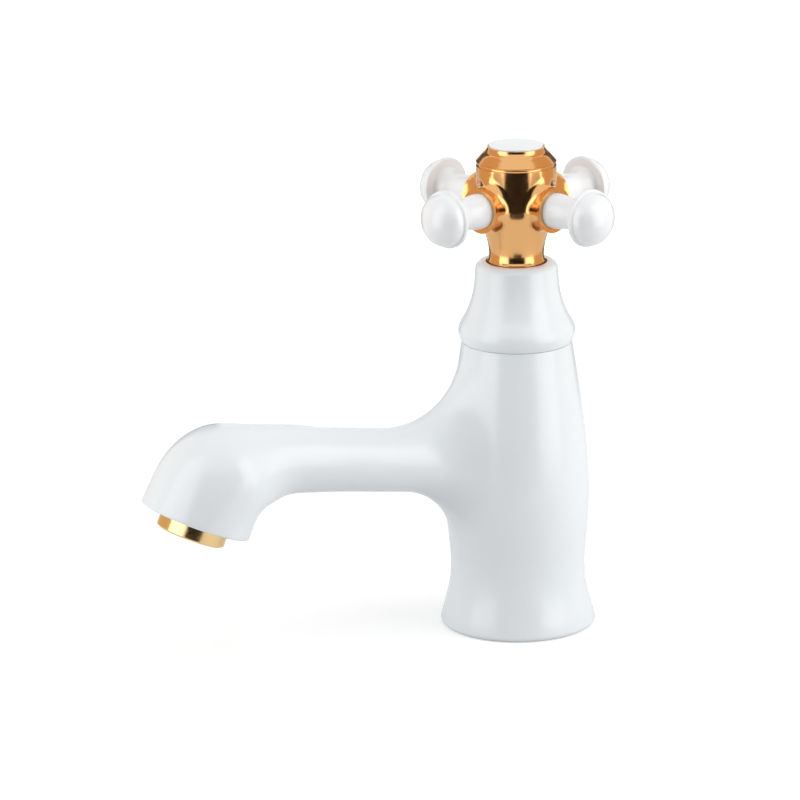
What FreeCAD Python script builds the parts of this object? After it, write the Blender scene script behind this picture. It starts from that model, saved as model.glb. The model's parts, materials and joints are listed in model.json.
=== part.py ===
import FreeCAD, Part
import math
import os

V = FreeCAD.Vector
ORIGIN = V(0, 0, 0)
UP = V(0, 0, 1)

# Millimetres throughout. z = 0 is the deck surface, the tap stands on it,
# the spout points along -Y and the handle turns about +Z.

# Column, from the foot up
BASE_RADIUS = 24.0
BASE_EDGE = 1.5
WAIST_RADIUS = 20.05
WAIST_HEIGHT = 18.7
FLARE_HOLLOW = 0.25
BELLY_RADIUS = 21.9
BELLY_RISE = 32.3
SHOULDER_RADIUS = 19.6
SHOULDER_DROP = 17.3
BODY_TOP_RADIUS = 17.0
BODY_HEIGHT = 90.5
COLUMN_WALL = 4.6

# Spout: a straight rising neck, then an elbow that swells to the outlet
SPOUT_ROOT_HEIGHT = 51.6
SPOUT_RISE = 7.5
SPOUT_RADIUS = 9.8
ELBOW_START = 76.0
ELBOW_START_RADIUS = 10.7
ELBOW_TURN = 75.0
ELBOW_INNER_START = 17.0
ELBOW_INNER_END = 12.4
HEAD_RADIUS = 17.5
HEAD_FULL_AT = 0.7
OUTLET_TRIM = 0.6
OUTLET_EDGE = 0.6
SPOUT_WALL = 3.3
ROOT_BLEND_TOP = 25.0
ROOT_BLEND_BELOW = 20.0
SPOUT_START = 12.0
SWELL_LENGTH = 18.0
NECK_STATIONS = 8
ELBOW_STATIONS = 5

# Aerator, screwed into the outlet
AERATOR_RADIUS = 10.8
AERATOR_PROUD = 4.9
AERATOR_DEPTH = 7.4
AERATOR_WALL = 1.4
AERATOR_LIP = 0.9
AERATOR_SEAL = 1.6
GRILLE_THICKNESS = 3.0
GRILLE_HOLE = 0.9
GRILLE_PITCH = 2.6
SCREEN_THICKNESS = 0.6

# Inlet tail and the deck clamp (half-inch pipe thread, shown plain)
TAIL_RADIUS = 10.48
TAIL_BORE = 7.0
TAIL_SOCKET = 14.0
TAIL_LENGTH = 48.0
TAIL_SEAL = 1.4
TAIL_RELIEF = 1.4
TAIL_END_BEVEL = 0.8
DECK_GAP = 20.0
DECK_WASHER_RADIUS = 20.0
DECK_WASHER_THICKNESS = 3.0
CLAMP_WASHER_RADIUS = 18.5
CLAMP_WASHER_THICKNESS = 2.0
BACKNUT_FLATS = 30.0
BACKNUT_HEIGHT = 8.0
GASKET_INNER = 19.0
GASKET_WIDTH = 3.2
GASKET_THICKNESS = 1.8

# Headwork: the quarter-turn ceramic valve inside the column
SEAT_DROP = 5.6
SEAT_WEB = 4.0
SEAT_PORT = 6.3
SEAT_SEAL = 2.6
CAGE_RADIUS = 9.2
CAGE_WALL = 1.0
DISC_THICKNESS = 3.5
DISC_PORT_OUTER = 6.4
DISC_PORT_INNER = 2.4
DISC_PORT_ANGLE = 80.0
DRIVE_HEIGHT = 4.4
DRIVE_ANGLE = 90.0
DRIVE_KEY_WIDTH = 2.2
DRIVE_KEY_DEPTH = 1.2
CAGE_LIFT = 0.6
WINDOW_ANGLE = 100.0
SLIP_WASHER = 0.8
HEAD_THREAD = 10.0
NECK_RECESS_DEPTH = 14.5
NECK_RECESS_RADIUS = 14.0
HEAD_GASKET = 1.5
HEAD_HEX_FLATS = 22.0
HEAD_HEX_HEIGHT = 7.0
HEAD_NECK_RADIUS = 8.0
HEAD_NECK_RISE = 8.5
SPINDLE_RADIUS = 4.9
ORING_SECTION = 1.8
ORING_SPACING = 4.2
TRAVEL = 90.0
STOP_LUG_ANGLE = 50.0
STOP_MARGIN = 1.0
STOP_RADIUS = 7.4
STOP_HEIGHT = 3.0
CLIP_THICKNESS = 1.0
CLIP_RADIUS = 6.4
CLIP_GROOVE = 0.8
CLIP_OPENING = 60.0
SPLINE_RADIUS = 4.0
SPLINE_DEPTH = 0.4
SPLINE_TEETH = 16

# Bell-shaped shroud between the column and the handle
SHROUD_HEIGHT = 25.2
SHROUD_BULGE = 18.0
SHROUD_BULGE_RISE = 3.6
SHROUD_SEAM_RADIUS = 17.0
SHROUD_FLANK_RADIUS = 15.3
SHROUD_FLANK_RISE = 9.6
SHROUD_NECK_RADIUS = 13.4
SHROUD_NECK_RISE = 15.8
SHROUD_TOP_RADIUS = 12.7
SHROUD_EDGE = 2.2
SHROUD_WEB_RISE = 3.4
SHROUD_WEB = 4.0
SHROUD_SKIRT = 2.6

# Cross handle
ARM_ANGLE = 22.0
ARM_RISE = 18.6
ARM_COUNT = 4
HUB_NECK_RADIUS = 8.9
HUB_NECK_DIP = 0.45
HUB_TUCK = 3.5
HUB_RADIUS = 12.4
HUB_CROWN = 17.6
HUB_STEP_RADIUS = 10.1
HUB_STEP_DROP = 1.9
HUB_SHOULDER_DROP = 4.6
HUB_GROOVE_HEIGHT = 1.2
HUB_GROOVE_DEPTH = 0.4
BOSS_RADIUS = 7.05
BOSS_REACH = 16.2
BOSS_FLARE = 0.5
BOSS_BLEND = 3.4
SPOKE_RADIUS = 5.5
SPOKE_TUCK = 1.6
SPOKE_WAIST = 4.6
COLLAR_REACH = 29.6
COLLAR_RADIUS = 8.85
COLLAR_THICKNESS = 1.6
KNOB_RADIUS = 8.2
KNOB_HEIGHT = 6.4
STUD_RADIUS = 2.5
STUD_LENGTH = 17.0
INSERT_FLATS = 11.5
INSERT_LENGTH = 18.0
SCREW_RADIUS = 2.5
SCREW_HEAD_RADIUS = 4.2
SCREW_HEAD_HEIGHT = 3.0
SCREW_LENGTH = 14.0
SCREW_WEB = 3.5
BUTTON_RADIUS = 8.3
BUTTON_RIM = 2.6
BUTTON_PROUD = 0.4
BUTTON_CROWN = 0.5
BUTTON_SPIGOT = 6.6
BUTTON_SPIGOT_DEPTH = 2.6
BUTTON_RING = 1.3

# Clearances between pieces
THREAD_GAP = 0.06
RUN_GAP = 0.05
SEAT_GAP = 0.05
LOOSE_GAP = 0.6
SEAM_GAP = 0.15

# Heights that follow from the sizes above
BELLY_Z = WAIST_HEIGHT + BELLY_RISE
SHOULDER_Z = BODY_HEIGHT - SHOULDER_DROP
SEAT_Z = SPOUT_ROOT_HEIGHT - SEAT_DROP
CHAMBER_RADIUS = WAIST_RADIUS - COLUMN_WALL
LEDGE_Z = BODY_HEIGHT - NECK_RECESS_DEPTH
THREAD_START_Z = LEDGE_Z - HEAD_THREAD
FIXED_DISC_Z = SEAT_Z + SEAT_SEAL
TURNING_DISC_Z = FIXED_DISC_Z + DISC_THICKNESS
DRIVE_Z = TURNING_DISC_Z + DISC_THICKNESS
SLIP_Z = DRIVE_Z + DRIVE_HEIGHT
CAGE_TOP_Z = SLIP_Z + SLIP_WASHER
HEX_Z = LEDGE_Z + HEAD_GASKET
NECK_TOP_Z = BODY_HEIGHT + HEAD_NECK_RISE
CLIP_Z = NECK_TOP_Z + STOP_HEIGHT + SEAM_GAP
SHROUD_TOP_Z = BODY_HEIGHT + SHROUD_HEIGHT
HUB_BOTTOM_Z = SHROUD_TOP_Z - HUB_TUCK
ARM_Z = SHROUD_TOP_Z + ARM_RISE
HUB_TOP_Z = ARM_Z + HUB_CROWN
BUTTON_SEAT_Z = HUB_TOP_Z - BUTTON_RIM
SPIGOT_FLOOR_Z = BUTTON_SEAT_Z - BUTTON_SPIGOT_DEPTH
SCREW_FLOOR_Z = SPIGOT_FLOOR_Z - SCREW_HEAD_HEIGHT - LOOSE_GAP
INSERT_TOP_Z = SCREW_FLOOR_Z - SCREW_WEB
SPINDLE_TOP_Z = INSERT_TOP_Z - LOOSE_GAP
DISC_RADIUS = CAGE_RADIUS - CAGE_WALL - RUN_GAP
SPINDLE_BORE = SPINDLE_RADIUS + RUN_GAP
CLAMP_Z = -DECK_GAP - DECK_WASHER_THICKNESS
BACKNUT_Z = CLAMP_Z - CLAMP_WASHER_THICKNESS


# Shape helpers


def line(a, b):
    return Part.LineSegment(a, b).toShape()


def arc(a, middle, b):
    return Part.Arc(a, middle, b).toShape()


def curve(points, start=None, end=None):
    # a smooth curve through the points, with end directions where they are given
    spline = Part.BSplineCurve()
    if start and end:
        spline.interpolate(Points=points, InitialTangent=start, FinalTangent=end)
    else:
        spline.interpolate(Points=points)
    return spline.toShape()


def spun(edges):
    # turn a closed outline in the XZ plane into a solid about Z
    return Part.Face(Part.Wire(edges)).revolve(ORIGIN, UP, 360)


def turned(points):
    # a turned piece from straight stretches, each point being (radius, height)
    corners = [V(r, 0, z) for r, z in points]
    corners.append(corners[0])
    return Part.Face(Part.makePolygon(corners)).revolve(ORIGIN, UP, 360)


def rod(radius, z0, z1):
    return Part.makeCylinder(radius, z1 - z0, V(0, 0, z0), UP)


def tube(inner, outer, z0, z1):
    return turned([(inner, z0), (outer, z0), (outer, z1), (inner, z1)])


def sector(inner, outer, z0, z1, middle, width):
    # part of a ring, its middle and its width in degrees seen from above
    piece = Part.makeCylinder(outer, z1 - z0, V(0, 0, z0), UP, width)
    piece.rotate(ORIGIN, UP, middle - width / 2)
    return piece.cut(rod(inner, z0 - 1, z1 + 1))


def hexagon(flats, z0, z1):
    corner = flats / math.sqrt(3)
    points = [V(corner * math.cos(math.radians(60 * i)), corner * math.sin(math.radians(60 * i)), z0)
              for i in range(7)]
    return Part.Face(Part.makePolygon(points)).extrude(V(0, 0, z1 - z0))


def splined(grow, z0, z1):
    # toothed bar that turns the handle with the spindle
    points = []
    for i in range(2 * SPLINE_TEETH + 1):
        radius = SPLINE_RADIUS + grow - (SPLINE_DEPTH if i % 2 else 0)
        angle = math.pi * i / SPLINE_TEETH
        points.append(V(radius * math.cos(angle), radius * math.sin(angle), z0))
    return Part.Face(Part.makePolygon(points)).extrude(V(0, 0, z1 - z0))


def torus(middle_radius, section_radius, z):
    return Part.makeTorus(middle_radius, section_radius, V(0, 0, z), UP)


def solid_of(shape):
    # one plain solid out of a cut or a join
    return shape.Solids[0]


# Body casting


def column():
    edge_cut = BASE_EDGE * (1 - math.sqrt(0.5))
    foot = V(BASE_RADIUS - BASE_EDGE, 0, 0)
    rim = V(BASE_RADIUS, 0, BASE_EDGE)
    waist = V(WAIST_RADIUS, 0, WAIST_HEIGHT)
    flare_middle = (rim + waist) * 0.5 - V(FLARE_HOLLOW, 0, 0)
    belly = V(BELLY_RADIUS, 0, BELLY_Z)
    shoulder = V(SHOULDER_RADIUS, 0, SHOULDER_Z)
    crown = V(BODY_TOP_RADIUS, 0, BODY_HEIGHT)
    top_centre = V(0, 0, BODY_HEIGHT)
    return spun([
        line(ORIGIN, foot),
        arc(foot, V(BASE_RADIUS - edge_cut, 0, edge_cut), rim),
        arc(rim, flare_middle, waist),
        curve([waist, belly, shoulder, crown]),
        line(crown, top_centre),
        line(top_centre, ORIGIN)])


def spout_station(step):
    # place, direction and radius of one section of the spout
    rise = math.radians(SPOUT_RISE)
    if step < NECK_STATIONS:
        reach = SPOUT_START + (ELBOW_START - SPOUT_START) * step / NECK_STATIONS
        place = V(0, -reach, SPOUT_ROOT_HEIGHT + reach * math.tan(rise))
        swell = max(0, 1 - (ELBOW_START - reach) / SWELL_LENGTH) ** 2
        radius = SPOUT_RADIUS + (ELBOW_START_RADIUS - SPOUT_RADIUS) * swell
        return place, V(0, -math.cos(rise), math.sin(rise)), radius
    part = (step - NECK_STATIONS) / ELBOW_STATIONS
    lean = math.radians(ELBOW_TURN) * part - rise
    swell = math.sin(math.pi / 2 * min(1, part / HEAD_FULL_AT)) ** 2
    radius = ELBOW_START_RADIUS + (HEAD_RADIUS - ELBOW_START_RADIUS) * swell
    inner = ELBOW_INNER_END + (ELBOW_INNER_START - ELBOW_INNER_END) * max(0, 1 - part) ** 1.5
    first = ELBOW_INNER_START + ELBOW_START_RADIUS
    pivot_y = -ELBOW_START - first * math.sin(rise)
    pivot_z = SPOUT_ROOT_HEIGHT + ELBOW_START * math.tan(rise) - first * math.cos(rise)
    reach = inner + radius
    place = V(0, pivot_y - reach * math.sin(lean), pivot_z + reach * math.cos(lean))
    return place, V(0, -math.cos(lean), -math.sin(lean)), radius


LAST_STATION = NECK_STATIONS + ELBOW_STATIONS
HEAD_END, OUTFLOW, OUTLET_RADIUS = spout_station(LAST_STATION)
OUTLET = HEAD_END - OUTFLOW * OUTLET_TRIM


def spout_section(step, inset):
    # a circle in two halves, so that the spout's sides meet on its top and bottom lines
    place, along, radius = spout_station(step)
    radius = radius - inset
    side = V(radius, 0, 0)
    over = V(1, 0, 0).cross(along) * radius
    return Part.Wire([
        arc(place + over, place + side, place - over),
        arc(place - over, place - side, place + over)])


def spout(inset, last):
    return Part.makeLoft([spout_section(i, inset) for i in range(last + 1)], True, False)


def at_outlet(shape):
    # carry a piece built about +Z to the outlet, +Z along the outflow
    shape.Placement = FreeCAD.Placement(OUTLET, FreeCAD.Rotation(UP, OUTFLOW))
    return shape


def blend_root(shape):
    # a large blend above the spout that runs down to a small one below it
    marks = []
    for number, edge in enumerate(shape.Edges, 1):
        first = edge.firstVertex(True).Point
        last = edge.lastVertex(True).Point
        middle = edge.valueAt((edge.FirstParameter + edge.LastParameter) / 2)
        on_centre_plane = abs(first.x) < 0.01 and abs(last.x) < 0.01
        beside_spout = abs(middle.x) > SPOUT_RADIUS / 2 and -BELLY_RADIUS * 1.2 < middle.y < -SPOUT_RADIUS / 2
        if on_centre_plane and beside_spout and abs(first.z - last.z) > SPOUT_RADIUS:
            ends = (ROOT_BLEND_TOP, ROOT_BLEND_BELOW) if first.z > last.z else (ROOT_BLEND_BELOW, ROOT_BLEND_TOP)
            marks.append((number, ends[0], ends[1]))
    document = FreeCAD.newDocument()
    plain = document.addObject("Part::Feature")
    plain.Shape = shape
    blended = document.addObject("Part::Fillet")
    blended.Base = plain
    blended.Edges = marks
    document.recompute()
    return solid_of(blended.Shape.copy())


def round_outlet(shape):
    rim = [edge for edge in shape.Edges
           if all((vertex.Point - OUTLET).Length < OUTLET_RADIUS + 1
                  and abs((vertex.Point - OUTLET).dot(OUTFLOW)) < 0.01 for vertex in edge.Vertexes)]
    return shape.makeFillet(OUTLET_EDGE, rim)


def column_hollow():
    socket = TAIL_RADIUS + THREAD_GAP
    step = CHAMBER_RADIUS - TAIL_BORE
    seat_step = CHAMBER_RADIUS - SEAT_PORT
    lower = turned([
        (0, -1), (socket, -1), (socket, TAIL_SOCKET), (TAIL_BORE, TAIL_SOCKET),
        (TAIL_BORE, TAIL_SOCKET + 1), (CHAMBER_RADIUS, TAIL_SOCKET + 1 + step / 2),
        (CHAMBER_RADIUS, SEAT_Z - SEAT_WEB - seat_step / 3), (SEAT_PORT, SEAT_Z - SEAT_WEB),
        (SEAT_PORT, SEAT_Z + 1), (0, SEAT_Z + 1)])
    thread = TAIL_RADIUS + THREAD_GAP
    upper = turned([
        (0, SEAT_Z), (CHAMBER_RADIUS, SEAT_Z), (CHAMBER_RADIUS, THREAD_START_Z - CHAMBER_RADIUS + thread),
        (thread, THREAD_START_Z), (thread, LEDGE_Z), (NECK_RECESS_RADIUS, LEDGE_Z),
        (NECK_RECESS_RADIUS, BODY_HEIGHT + 1), (0, BODY_HEIGHT + 1)])
    return lower.fuse(upper)


def body_casting():
    # the spout runs one section past the outlet and is trimmed there
    beyond = at_outlet(rod(2 * HEAD_RADIUS, 0, 2 * HEAD_RADIUS))
    body = solid_of(column().fuse(spout(0, LAST_STATION + 1).cut(beyond)))
    body = round_outlet(blend_root(body))
    groove = tube(GASKET_INNER - SEAM_GAP, GASKET_INNER + GASKET_WIDTH + SEAM_GAP, -1, GASKET_THICKNESS)
    depth = AERATOR_DEPTH + AERATOR_SEAL
    socket = at_outlet(rod(AERATOR_RADIUS + THREAD_GAP, -depth, 1))
    throat = at_outlet(rod(AERATOR_RADIUS - AERATOR_WALL - 1, -depth - 6, 1))
    waterway = spout(SPOUT_WALL, LAST_STATION - 2)
    return solid_of(body.cut([column_hollow(), groove, socket, throat, waterway]))


# Inlet tail and deck clamp


def inlet_tail():
    # the relief below the backnut parts the clamping thread from the hose thread
    relief = BACKNUT_Z - BACKNUT_HEIGHT
    slim = TAIL_RADIUS - TAIL_END_BEVEL
    return turned([
        (TAIL_BORE, -TAIL_LENGTH), (slim, -TAIL_LENGTH), (TAIL_RADIUS, -TAIL_LENGTH + TAIL_END_BEVEL),
        (TAIL_RADIUS, relief - TAIL_RELIEF), (slim, relief - TAIL_RELIEF), (slim, relief),
        (TAIL_RADIUS, relief), (TAIL_RADIUS, TAIL_SOCKET - TAIL_SEAL), (TAIL_BORE, TAIL_SOCKET - TAIL_SEAL)])


def tail_seal():
    return tube(TAIL_BORE + 0.5, TAIL_RADIUS - 0.2, TAIL_SOCKET - TAIL_SEAL, TAIL_SOCKET)


def base_gasket():
    return tube(GASKET_INNER, GASKET_INNER + GASKET_WIDTH, 0, GASKET_THICKNESS)


def deck_washer():
    return tube(TAIL_RADIUS + LOOSE_GAP, DECK_WASHER_RADIUS, CLAMP_Z, -DECK_GAP)


def clamp_washer():
    return tube(TAIL_RADIUS + LOOSE_GAP, CLAMP_WASHER_RADIUS, BACKNUT_Z, CLAMP_Z)


def backnut():
    nut = hexagon(BACKNUT_FLATS, BACKNUT_Z - BACKNUT_HEIGHT, BACKNUT_Z)
    corner = BACKNUT_FLATS / math.sqrt(3)
    crown = corner - 1
    shaved = turned([
        (0, BACKNUT_Z - BACKNUT_HEIGHT), (crown, BACKNUT_Z - BACKNUT_HEIGHT),
        (corner + 0.2, BACKNUT_Z - BACKNUT_HEIGHT + 1), (corner + 0.2, BACKNUT_Z), (0, BACKNUT_Z)])
    hole = rod(TAIL_RADIUS + THREAD_GAP, BACKNUT_Z - BACKNUT_HEIGHT - 1, BACKNUT_Z + 1)
    return solid_of(nut.common(shaved).cut(hole))


# Aerator, built about +Z with the outflow upwards


def aerator_housing():
    bore = AERATOR_RADIUS - AERATOR_WALL
    lip = bore - AERATOR_LIP
    edge = 0.5
    return at_outlet(turned([
        (bore, -AERATOR_DEPTH), (AERATOR_RADIUS, -AERATOR_DEPTH), (AERATOR_RADIUS, AERATOR_PROUD - edge),
        (AERATOR_RADIUS - edge, AERATOR_PROUD), (lip, AERATOR_PROUD), (lip, AERATOR_PROUD - AERATOR_LIP),
        (bore, AERATOR_PROUD - AERATOR_LIP)]))


def aerator_insert():
    top = AERATOR_PROUD - AERATOR_LIP
    radius = AERATOR_RADIUS - AERATOR_WALL - SEAT_GAP
    disc = rod(radius, top - GRILLE_THICKNESS, top)
    holes = [rod(GRILLE_HOLE, top - GRILLE_THICKNESS - 1, top + 1)]
    for ring in (1, 2, 3):
        for i in range(6 * ring):
            angle = 2 * math.pi * i / (6 * ring)
            hole = rod(GRILLE_HOLE, top - GRILLE_THICKNESS - 1, top + 1)
            hole.translate(V(ring * GRILLE_PITCH * math.cos(angle), ring * GRILLE_PITCH * math.sin(angle), 0))
            holes.append(hole)
    return at_outlet(solid_of(disc.cut(holes)))


def aerator_screen():
    top = AERATOR_PROUD - AERATOR_LIP - GRILLE_THICKNESS
    return at_outlet(rod(AERATOR_RADIUS - AERATOR_WALL - SEAT_GAP, top - SCREEN_THICKNESS, top))


def aerator_seal():
    bore = AERATOR_RADIUS - AERATOR_WALL
    return at_outlet(tube(bore - 0.8, AERATOR_RADIUS - 0.3, -AERATOR_DEPTH - AERATOR_SEAL, -AERATOR_DEPTH))


# Headwork


def headwork_body():
    thread = TAIL_RADIUS
    pocket = CAGE_RADIUS - CAGE_WALL
    bottom = SEAT_Z + CAGE_LIFT
    shell = turned([
        (pocket, bottom), (CAGE_RADIUS, bottom), (CAGE_RADIUS, THREAD_START_Z), (thread, THREAD_START_Z),
        (thread, HEX_Z), (HEAD_NECK_RADIUS, HEX_Z), (HEAD_NECK_RADIUS, NECK_TOP_Z),
        (SPINDLE_BORE, NECK_TOP_Z), (SPINDLE_BORE, CAGE_TOP_Z), (pocket, CAGE_TOP_Z)])
    flange = hexagon(HEAD_HEX_FLATS, HEX_Z, HEX_Z + HEAD_HEX_HEIGHT).cut(
        rod(SPINDLE_BORE, HEX_Z - 1, HEX_Z + HEAD_HEX_HEIGHT + 1))
    wall_angle = 360 - STOP_LUG_ANGLE - TRAVEL - 2 * STOP_MARGIN
    wall_middle = TRAVEL / 2 + 180
    wall = sector(SPINDLE_BORE + 1.6, STOP_RADIUS + 0.4, NECK_TOP_Z - 0.5, NECK_TOP_Z + STOP_HEIGHT,
                  wall_middle, wall_angle)
    windows = [sector(pocket - 0.5, CAGE_RADIUS + 1, DRIVE_Z, SLIP_Z, side, WINDOW_ANGLE) for side in (0, 180)]
    return solid_of(shell.fuse([flange, wall]).cut(windows))


def headwork_gasket():
    return tube(TAIL_RADIUS + 0.3, HEAD_HEX_FLATS / 2 + 1.5, LEDGE_Z, HEX_Z)


def seat_seal():
    return tube(SEAT_PORT, DISC_RADIUS - SEAT_GAP, SEAT_Z, FIXED_DISC_Z)


def ceramic_disc(z, port_direction):
    disc = rod(DISC_RADIUS, z, z + DISC_THICKNESS)
    ports = [sector(DISC_PORT_INNER, DISC_PORT_OUTER, z - 1, z + DISC_THICKNESS + 1,
                    port_direction + side, DISC_PORT_ANGLE) for side in (0, 180)]
    return solid_of(disc.cut(ports))


def fixed_disc():
    return ceramic_disc(FIXED_DISC_Z, 0)


def turning_disc():
    width = DRIVE_KEY_WIDTH + 2 * SEAT_GAP
    length = 2 * DISC_RADIUS + 2
    slot = Part.makeBox(length, width, DRIVE_KEY_DEPTH + 1,
                        V(-length / 2, -width / 2, DRIVE_Z - DRIVE_KEY_DEPTH))
    return solid_of(ceramic_disc(TURNING_DISC_Z, 90).cut(slot))


def spindle():
    groove = SPINDLE_RADIUS - ORING_SECTION + 0.2
    shaft = rod(SPINDLE_RADIUS, DRIVE_Z, CLIP_Z + CLIP_THICKNESS + 1)
    drive = [sector(SPINDLE_RADIUS - 0.5, DISC_RADIUS - 0.3, DRIVE_Z, SLIP_Z, side, DRIVE_ANGLE)
             for side in (0, 180)]
    length = 2 * DISC_RADIUS - 2
    key = Part.makeBox(length, DRIVE_KEY_WIDTH, DRIVE_KEY_DEPTH,
                       V(-length / 2, -DRIVE_KEY_WIDTH / 2, DRIVE_Z - DRIVE_KEY_DEPTH + 0.1))
    toothed = splined(0, CLIP_Z + CLIP_THICKNESS, SPINDLE_TOP_Z)
    shape = shaft.fuse(drive + [key, toothed])
    grooves = [tube(groove, SPINDLE_RADIUS + 1, z - ORING_SECTION / 2, z + ORING_SECTION / 2)
               for z in oring_heights()]
    clip_groove = tube(SPINDLE_RADIUS - CLIP_GROOVE, SPINDLE_RADIUS + 1, CLIP_Z, CLIP_Z + CLIP_THICKNESS)
    flats = [Part.makeBox(20, 20, STOP_HEIGHT + SEAM_GAP, V(-10, SPINDLE_RADIUS - 0.9, NECK_TOP_Z)),
             Part.makeBox(20, 20, STOP_HEIGHT + SEAM_GAP, V(-10, -20 - SPINDLE_RADIUS + 0.9, NECK_TOP_Z))]
    screw_hole = rod(SCREW_RADIUS + THREAD_GAP, SCREW_FLOOR_Z - SCREW_LENGTH - 1.5, SPINDLE_TOP_Z + 1)
    return solid_of(shape.cut(grooves + [clip_groove, screw_hole] + flats))


def oring_heights():
    middle = (THREAD_START_Z + LEDGE_Z) / 2
    return [middle - ORING_SPACING / 2, middle + ORING_SPACING / 2]


def spindle_orings():
    inner = SPINDLE_RADIUS - ORING_SECTION + 0.2 + 0.02
    outer = SPINDLE_BORE - 0.03
    section = (outer - inner) / 2
    return Part.makeCompound([torus((outer + inner) / 2, section, z) for z in oring_heights()])


def slip_washer():
    return tube(SPINDLE_RADIUS + RUN_GAP, DISC_RADIUS - 0.3, SLIP_Z, CAGE_TOP_Z)


def stop_ring():
    bottom = NECK_TOP_Z + SEAM_GAP / 2
    top = NECK_TOP_Z + STOP_HEIGHT
    ring = rod(SPINDLE_BORE + 1.3, bottom, top)
    lug = sector(SPINDLE_RADIUS - 1, STOP_RADIUS, bottom, top, 0, STOP_LUG_ANGLE)
    bore = rod(SPINDLE_BORE, bottom - 1, top + 1)
    flat = SPINDLE_RADIUS - 0.9 + RUN_GAP
    slot = Part.makeBox(30, 2 * flat, STOP_HEIGHT + 2, V(-15, -flat, bottom - 1))
    return solid_of(ring.fuse(lug).cut(bore.common(slot)))


def spindle_clip():
    clip = tube(SPINDLE_RADIUS - CLIP_GROOVE + SEAT_GAP, CLIP_RADIUS, CLIP_Z, CLIP_Z + CLIP_THICKNESS)
    gap = sector(SPINDLE_RADIUS - 2, CLIP_RADIUS + 1, CLIP_Z - 1, CLIP_Z + CLIP_THICKNESS + 1, 180, CLIP_OPENING)
    return solid_of(clip.cut(gap))


# Shroud


def bonnet_shroud():
    seam = BODY_HEIGHT + SEAM_GAP
    mouth = HUB_NECK_RADIUS + LOOSE_GAP
    bore = HEAD_NECK_RADIUS + THREAD_GAP
    skirt = SHROUD_SEAM_RADIUS - SHROUD_SKIRT
    web_bottom = BODY_HEIGHT + SHROUD_WEB_RISE
    web_top = web_bottom + SHROUD_WEB
    start = V(SHROUD_SEAM_RADIUS, 0, seam)
    bulge = V(SHROUD_BULGE, 0, BODY_HEIGHT + SHROUD_BULGE_RISE)
    flank = V(SHROUD_FLANK_RADIUS, 0, BODY_HEIGHT + SHROUD_FLANK_RISE)
    neck = V(SHROUD_NECK_RADIUS, 0, BODY_HEIGHT + SHROUD_NECK_RISE)
    shoulder = V(SHROUD_TOP_RADIUS, 0, SHROUD_TOP_Z - SHROUD_EDGE)
    lip = V(SHROUD_TOP_RADIUS - SHROUD_EDGE, 0, SHROUD_TOP_Z)
    cut = SHROUD_EDGE * (1 - math.sqrt(0.5))
    corner = V(SHROUD_TOP_RADIUS - cut, 0, SHROUD_TOP_Z - cut)
    inside = [V(mouth, 0, SHROUD_TOP_Z), V(mouth, 0, web_top), V(bore, 0, web_top), V(bore, 0, web_bottom),
              V(skirt, 0, web_bottom), V(skirt, 0, seam)]
    edges = [curve([start, bulge, flank, neck, shoulder], V(0.5, 0, 1), V(-0.06, 0, 1)), arc(shoulder, corner, lip)]
    route = [lip] + inside + [start]
    edges += [line(a, b) for a, b in zip(route, route[1:])]
    return spun(edges)


# Handle, built with its first arm along +X and turned to its rest angle at the end


def along_arm(shape, number):
    # carry a piece built about +Z to arm number, +Z pointing outwards
    shape.rotate(ORIGIN, V(0, 1, 0), 90)
    shape.translate(V(0, 0, ARM_Z))
    shape.rotate(ORIGIN, UP, 360 / ARM_COUNT * number)
    return shape


def at_rest(shape):
    shape.rotate(ORIGIN, UP, ARM_ANGLE)
    return shape


def hub_core():
    bead = V(HUB_NECK_RADIUS, 0, SHROUD_TOP_Z + 0.5)
    dip = V(HUB_NECK_RADIUS - HUB_NECK_DIP, 0, SHROUD_TOP_Z + 3.2)
    flank = V(HUB_RADIUS - 1.2, 0, ARM_Z - BOSS_RADIUS * 0.8)
    barrel = V(HUB_RADIUS, 0, ARM_Z + BOSS_RADIUS * 0.6)
    shoulder = V(HUB_RADIUS, 0, HUB_TOP_Z - HUB_SHOULDER_DROP)
    groove_foot = shoulder - V(0, 0, HUB_GROOVE_HEIGHT)
    groove = (shoulder + groove_foot) * 0.5 - V(HUB_GROOVE_DEPTH, 0, 0)
    step = V(HUB_STEP_RADIUS, 0, HUB_TOP_Z - HUB_STEP_DROP)
    bezel = V(BUTTON_RADIUS + SEAM_GAP + 0.5, 0, HUB_TOP_Z)
    hollow = (step + bezel) * 0.5 - V(0.25, 0, 0.25)
    bottom = V(HUB_NECK_RADIUS, 0, HUB_BOTTOM_Z)
    edges = [
        line(V(0, 0, HUB_BOTTOM_Z), bottom), line(bottom, bead),
        curve([bead, dip, flank, barrel], V(-0.6, 0, 0.8), UP),
        line(barrel, groove_foot), arc(groove_foot, groove, shoulder), line(shoulder, step), arc(step, hollow, bezel),
        line(bezel, V(0, 0, HUB_TOP_Z)), line(V(0, 0, HUB_TOP_Z), V(0, 0, HUB_BOTTOM_Z))]
    core = spun(edges)
    core.rotate(ORIGIN, UP, 180 / ARM_COUNT)
    return core


def hub_boss(number):
    root = BOSS_RADIUS - BOSS_FLARE
    boss = spun([
        line(ORIGIN, V(root, 0, 0)), line(V(root, 0, 0), V(root, 0, HUB_RADIUS * 0.6)),
        curve([V(root, 0, HUB_RADIUS * 0.6), V(BOSS_RADIUS, 0, BOSS_REACH)], UP, V(0.3, 0, 1)),
        line(V(BOSS_RADIUS, 0, BOSS_REACH), V(0, 0, BOSS_REACH)), line(V(0, 0, BOSS_REACH), ORIGIN)])
    return along_arm(boss, number)


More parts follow.
